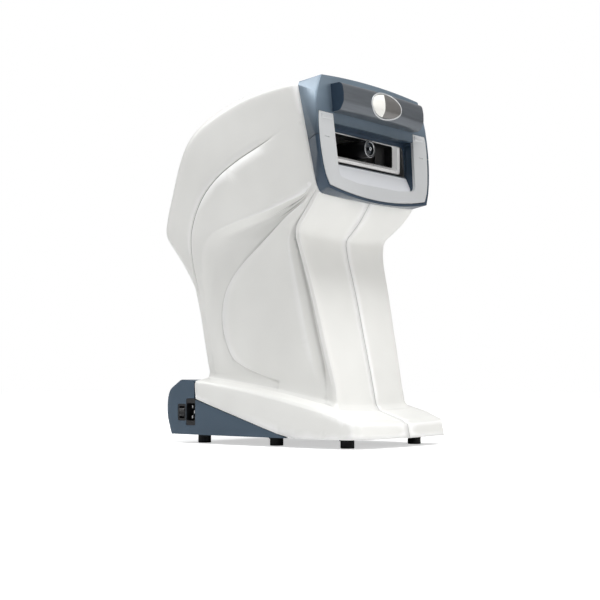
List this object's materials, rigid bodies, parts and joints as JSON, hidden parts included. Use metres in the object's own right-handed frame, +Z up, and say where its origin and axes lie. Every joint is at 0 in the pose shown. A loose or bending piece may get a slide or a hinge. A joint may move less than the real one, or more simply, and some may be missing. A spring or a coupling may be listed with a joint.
{
  "type": "ophthalmic tonometer",
  "caption": "Desktop air-puff tonometer: swan-necked white head on a base, dark bezel with forehead rest, window and nozzle, operator display, printer and powered measuring head",
  "frame": {"origin": "on the table under the middle of the instrument's bounding box", "axes": "+Z up; -Y towards the patient, +Y towards the operator; X across the instrument, +X on the patient's left"},
  "size_m": [0.255, 0.3463, 0.4844],
  "materials": {
    "shell_white": "fine moulded texture, warm white",
    "slate_cover": "satin blue-grey",
    "slate_dark": "dark slate moulding",
    "slate_light": "pearl blue-grey",
    "rest_metal": "blue-grey with a fine brushed sheen",
    "touch_metal": "polished plate",
    "frame_silver": "satin silver",
    "sill_grey": "light grey moulding",
    "bevel_white": "white moulding",
    "window_black": "smoked black",
    "black_rubber": "matt rubber",
    "black_plastic": "fine matt",
    "screen_glass": "glossy dark cover",
    "button_grey": "satin light blue-grey",
    "steel": "ground steel",
    "plate_steel": "zinc-plated sheet",
    "alloy": "milled",
    "black_alloy": "black anodised",
    "motor_dark": "dark motor stack",
    "board_green": "solder-masked board",
    "lens_glass": "coated glass",
    "brass_lever": "turned brass",
    "paper": "wound paper"
  },
  "bodies": {
    "housing": {"left_shell": "shell_white", "right_shell": "shell_white", "rear_base_cover": "slate_cover", "base_plate": "plate_steel", "rubber_feet": "black_rubber", "upper_bezel": "slate_light", "lower_bezel": "slate_dark", "forehead_rest": "rest_metal", "face_frame": "frame_silver", "window_surround": "sill_grey", "display_bezel": "slate_dark", "display_window": "screen_glass", "display_module": "motor_dark", "keypad_board": "board_green", "printer_frame": "plate_steel", "print_head": "steel", "power_inlet": "black_plastic", "inlet_pins": "steel", "switch_housing": "black_plastic", "chassis": "plate_steel", "chassis_screws": "steel", "power_supply": "plate_steel", "main_board": "board_green", "board_spacers": "steel", "lift_rods": "steel", "lift_motor": "motor_dark"},
    "touch_plate": {"touch_plate": "touch_metal"},
    "control_button_1": {"control_button_1": "button_grey"},
    "control_button_2": {"control_button_2": "button_grey"},
    "control_button_3": {"control_button_3": "button_grey"},
    "control_button_4": {"control_button_4": "button_grey"},
    "control_button_5": {"control_button_5": "button_grey"},
    "printer_door": {"printer_door": "slate_cover"},
    "platen_roller": {"platen_roller": "black_rubber"},
    "paper_roll": {"paper_roll": "paper"},
    "power_rocker": {"power_rocker": "black_plastic"},
    "lift_carriage": {"lift_carriage": "alloy", "cross_rods": "steel", "cross_motor": "motor_dark", "window_shroud": "bevel_white", "window_liner": "window_black"},
    "lift_screw": {"lift_screw": "steel"},
    "cross_carriage": {"cross_carriage": "alloy", "reach_rods": "steel", "reach_motor": "motor_dark"},
    "cross_screw": {"cross_screw": "steel"},
    "head_slide": {"head_slide": "alloy", "air_chamber": "alloy", "lens_barrel": "black_alloy", "front_lens": "lens_glass", "alignment_camera": "black_alloy", "pump_cylinder": "alloy", "rotary_solenoid": "motor_dark"},
    "reach_screw": {"reach_screw": "steel"},
    "solenoid_lever": {"solenoid_lever": "brass_lever"},
    "pump_piston": {"pump_piston": "alloy"}
  },
  "joints": [
    {"name": "touch_plate_press", "type": "slide", "parent": "housing", "child": "touch_plate", "axis": [0, 0.9877, 0.1564], "range_m": [0, 0.0015], "stiffness_N_per_m": 900},
    {"name": "control_button_1_press", "type": "slide", "parent": "housing", "child": "control_button_1", "axis": [0, -0.9478, -0.3189], "range_m": [0, 0.0012], "stiffness_N_per_m": 250},
    {"name": "control_button_2_press", "type": "slide", "parent": "housing", "child": "control_button_2", "axis": [0, -0.9478, -0.3189], "range_m": [0, 0.0012], "stiffness_N_per_m": 250},
    {"name": "control_button_3_press", "type": "slide", "parent": "housing", "child": "control_button_3", "axis": [0, -0.9478, -0.3189], "range_m": [0, 0.0012], "stiffness_N_per_m": 250},
    {"name": "control_button_4_press", "type": "slide", "parent": "housing", "child": "control_button_4", "axis": [0, -0.9478, -0.3189], "range_m": [0, 0.0012], "stiffness_N_per_m": 250},
    {"name": "control_button_5_press", "type": "slide", "parent": "housing", "child": "control_button_5", "axis": [0, -0.9478, -0.3189], "range_m": [0, 0.0012], "stiffness_N_per_m": 250},
    {"name": "printer_door_hinge", "type": "hinge", "parent": "housing", "child": "printer_door", "pos_m": [0, 0.15938, 0.02112], "axis": [-1, 0, 0], "range_deg": [0, 70]},
    {"name": "platen_turn", "type": "hinge", "parent": "printer_door", "child": "platen_roller", "pos_m": [0, 0.14599, 0.0728], "axis": [1, 0, 0], "continuous": true},
    {"name": "paper_roll_turn", "type": "hinge", "parent": "housing", "child": "paper_roll", "pos_m": [0, 0.1218, 0.04848], "axis": [1, 0, 0], "continuous": true},
    {"name": "power_rocker_tilt", "type": "hinge", "parent": "housing", "child": "power_rocker", "pos_m": [-0.09731, 0.13776, 0.0424], "axis": [-0.0746, -0.9972, 0], "range_deg": [-7, 7]},
    {"name": "lift_travel", "type": "slide", "parent": "housing", "child": "lift_carriage", "axis": [0, 0, 1], "range_m": [-0.014, 0]},
    {"name": "lift_screw_turn", "type": "hinge", "parent": "housing", "child": "lift_screw", "pos_m": [0, 0.09222, 0.29424], "axis": [0, 0, 1], "range_deg": [-1261, 1]},
    {"name": "cross_travel", "type": "slide", "parent": "lift_carriage", "child": "cross_carriage", "axis": [1, 0, 0], "range_m": [-0.036, 0.036]},
    {"name": "cross_screw_turn", "type": "hinge", "parent": "lift_carriage", "child": "cross_screw", "pos_m": [0, 0.06786, 0.34624], "axis": [1, 0, 0], "range_deg": [-1621, 1621]},
    {"name": "reach_travel", "type": "slide", "parent": "cross_carriage", "child": "head_slide", "axis": [0, 1, 0], "range_m": [-0.012, 0.012]},
    {"name": "reach_screw_turn", "type": "hinge", "parent": "cross_carriage", "child": "reach_screw", "pos_m": [0, 0, 0.36824], "axis": [0, 1, 0], "range_deg": [-1081, 1081]},
    {"name": "pump_stroke", "type": "slide", "parent": "head_slide", "child": "pump_piston", "axis": [0, -1, 0], "range_m": [0, 0.01]},
    {"name": "solenoid_swing", "type": "hinge", "parent": "head_slide", "child": "solenoid_lever", "pos_m": [0, 0.03044, 0.41124], "axis": [1, 0, 0], "range_deg": [0, 34.25]}
  ],
  "couplings": [
    {"joint": "platen_turn", "follows": "paper_roll_turn", "ratio": -4},
    {"joint": "lift_screw_turn", "follows": "lift_travel", "rad_per_m": 1570.8},
    {"joint": "cross_screw_turn", "follows": "cross_travel", "rad_per_m": 785.4},
    {"joint": "reach_screw_turn", "follows": "reach_travel", "rad_per_m": 1570.8},
    {"joint": "solenoid_swing", "follows": "pump_stroke", "rad_per_m": 59.706}
  ]
}
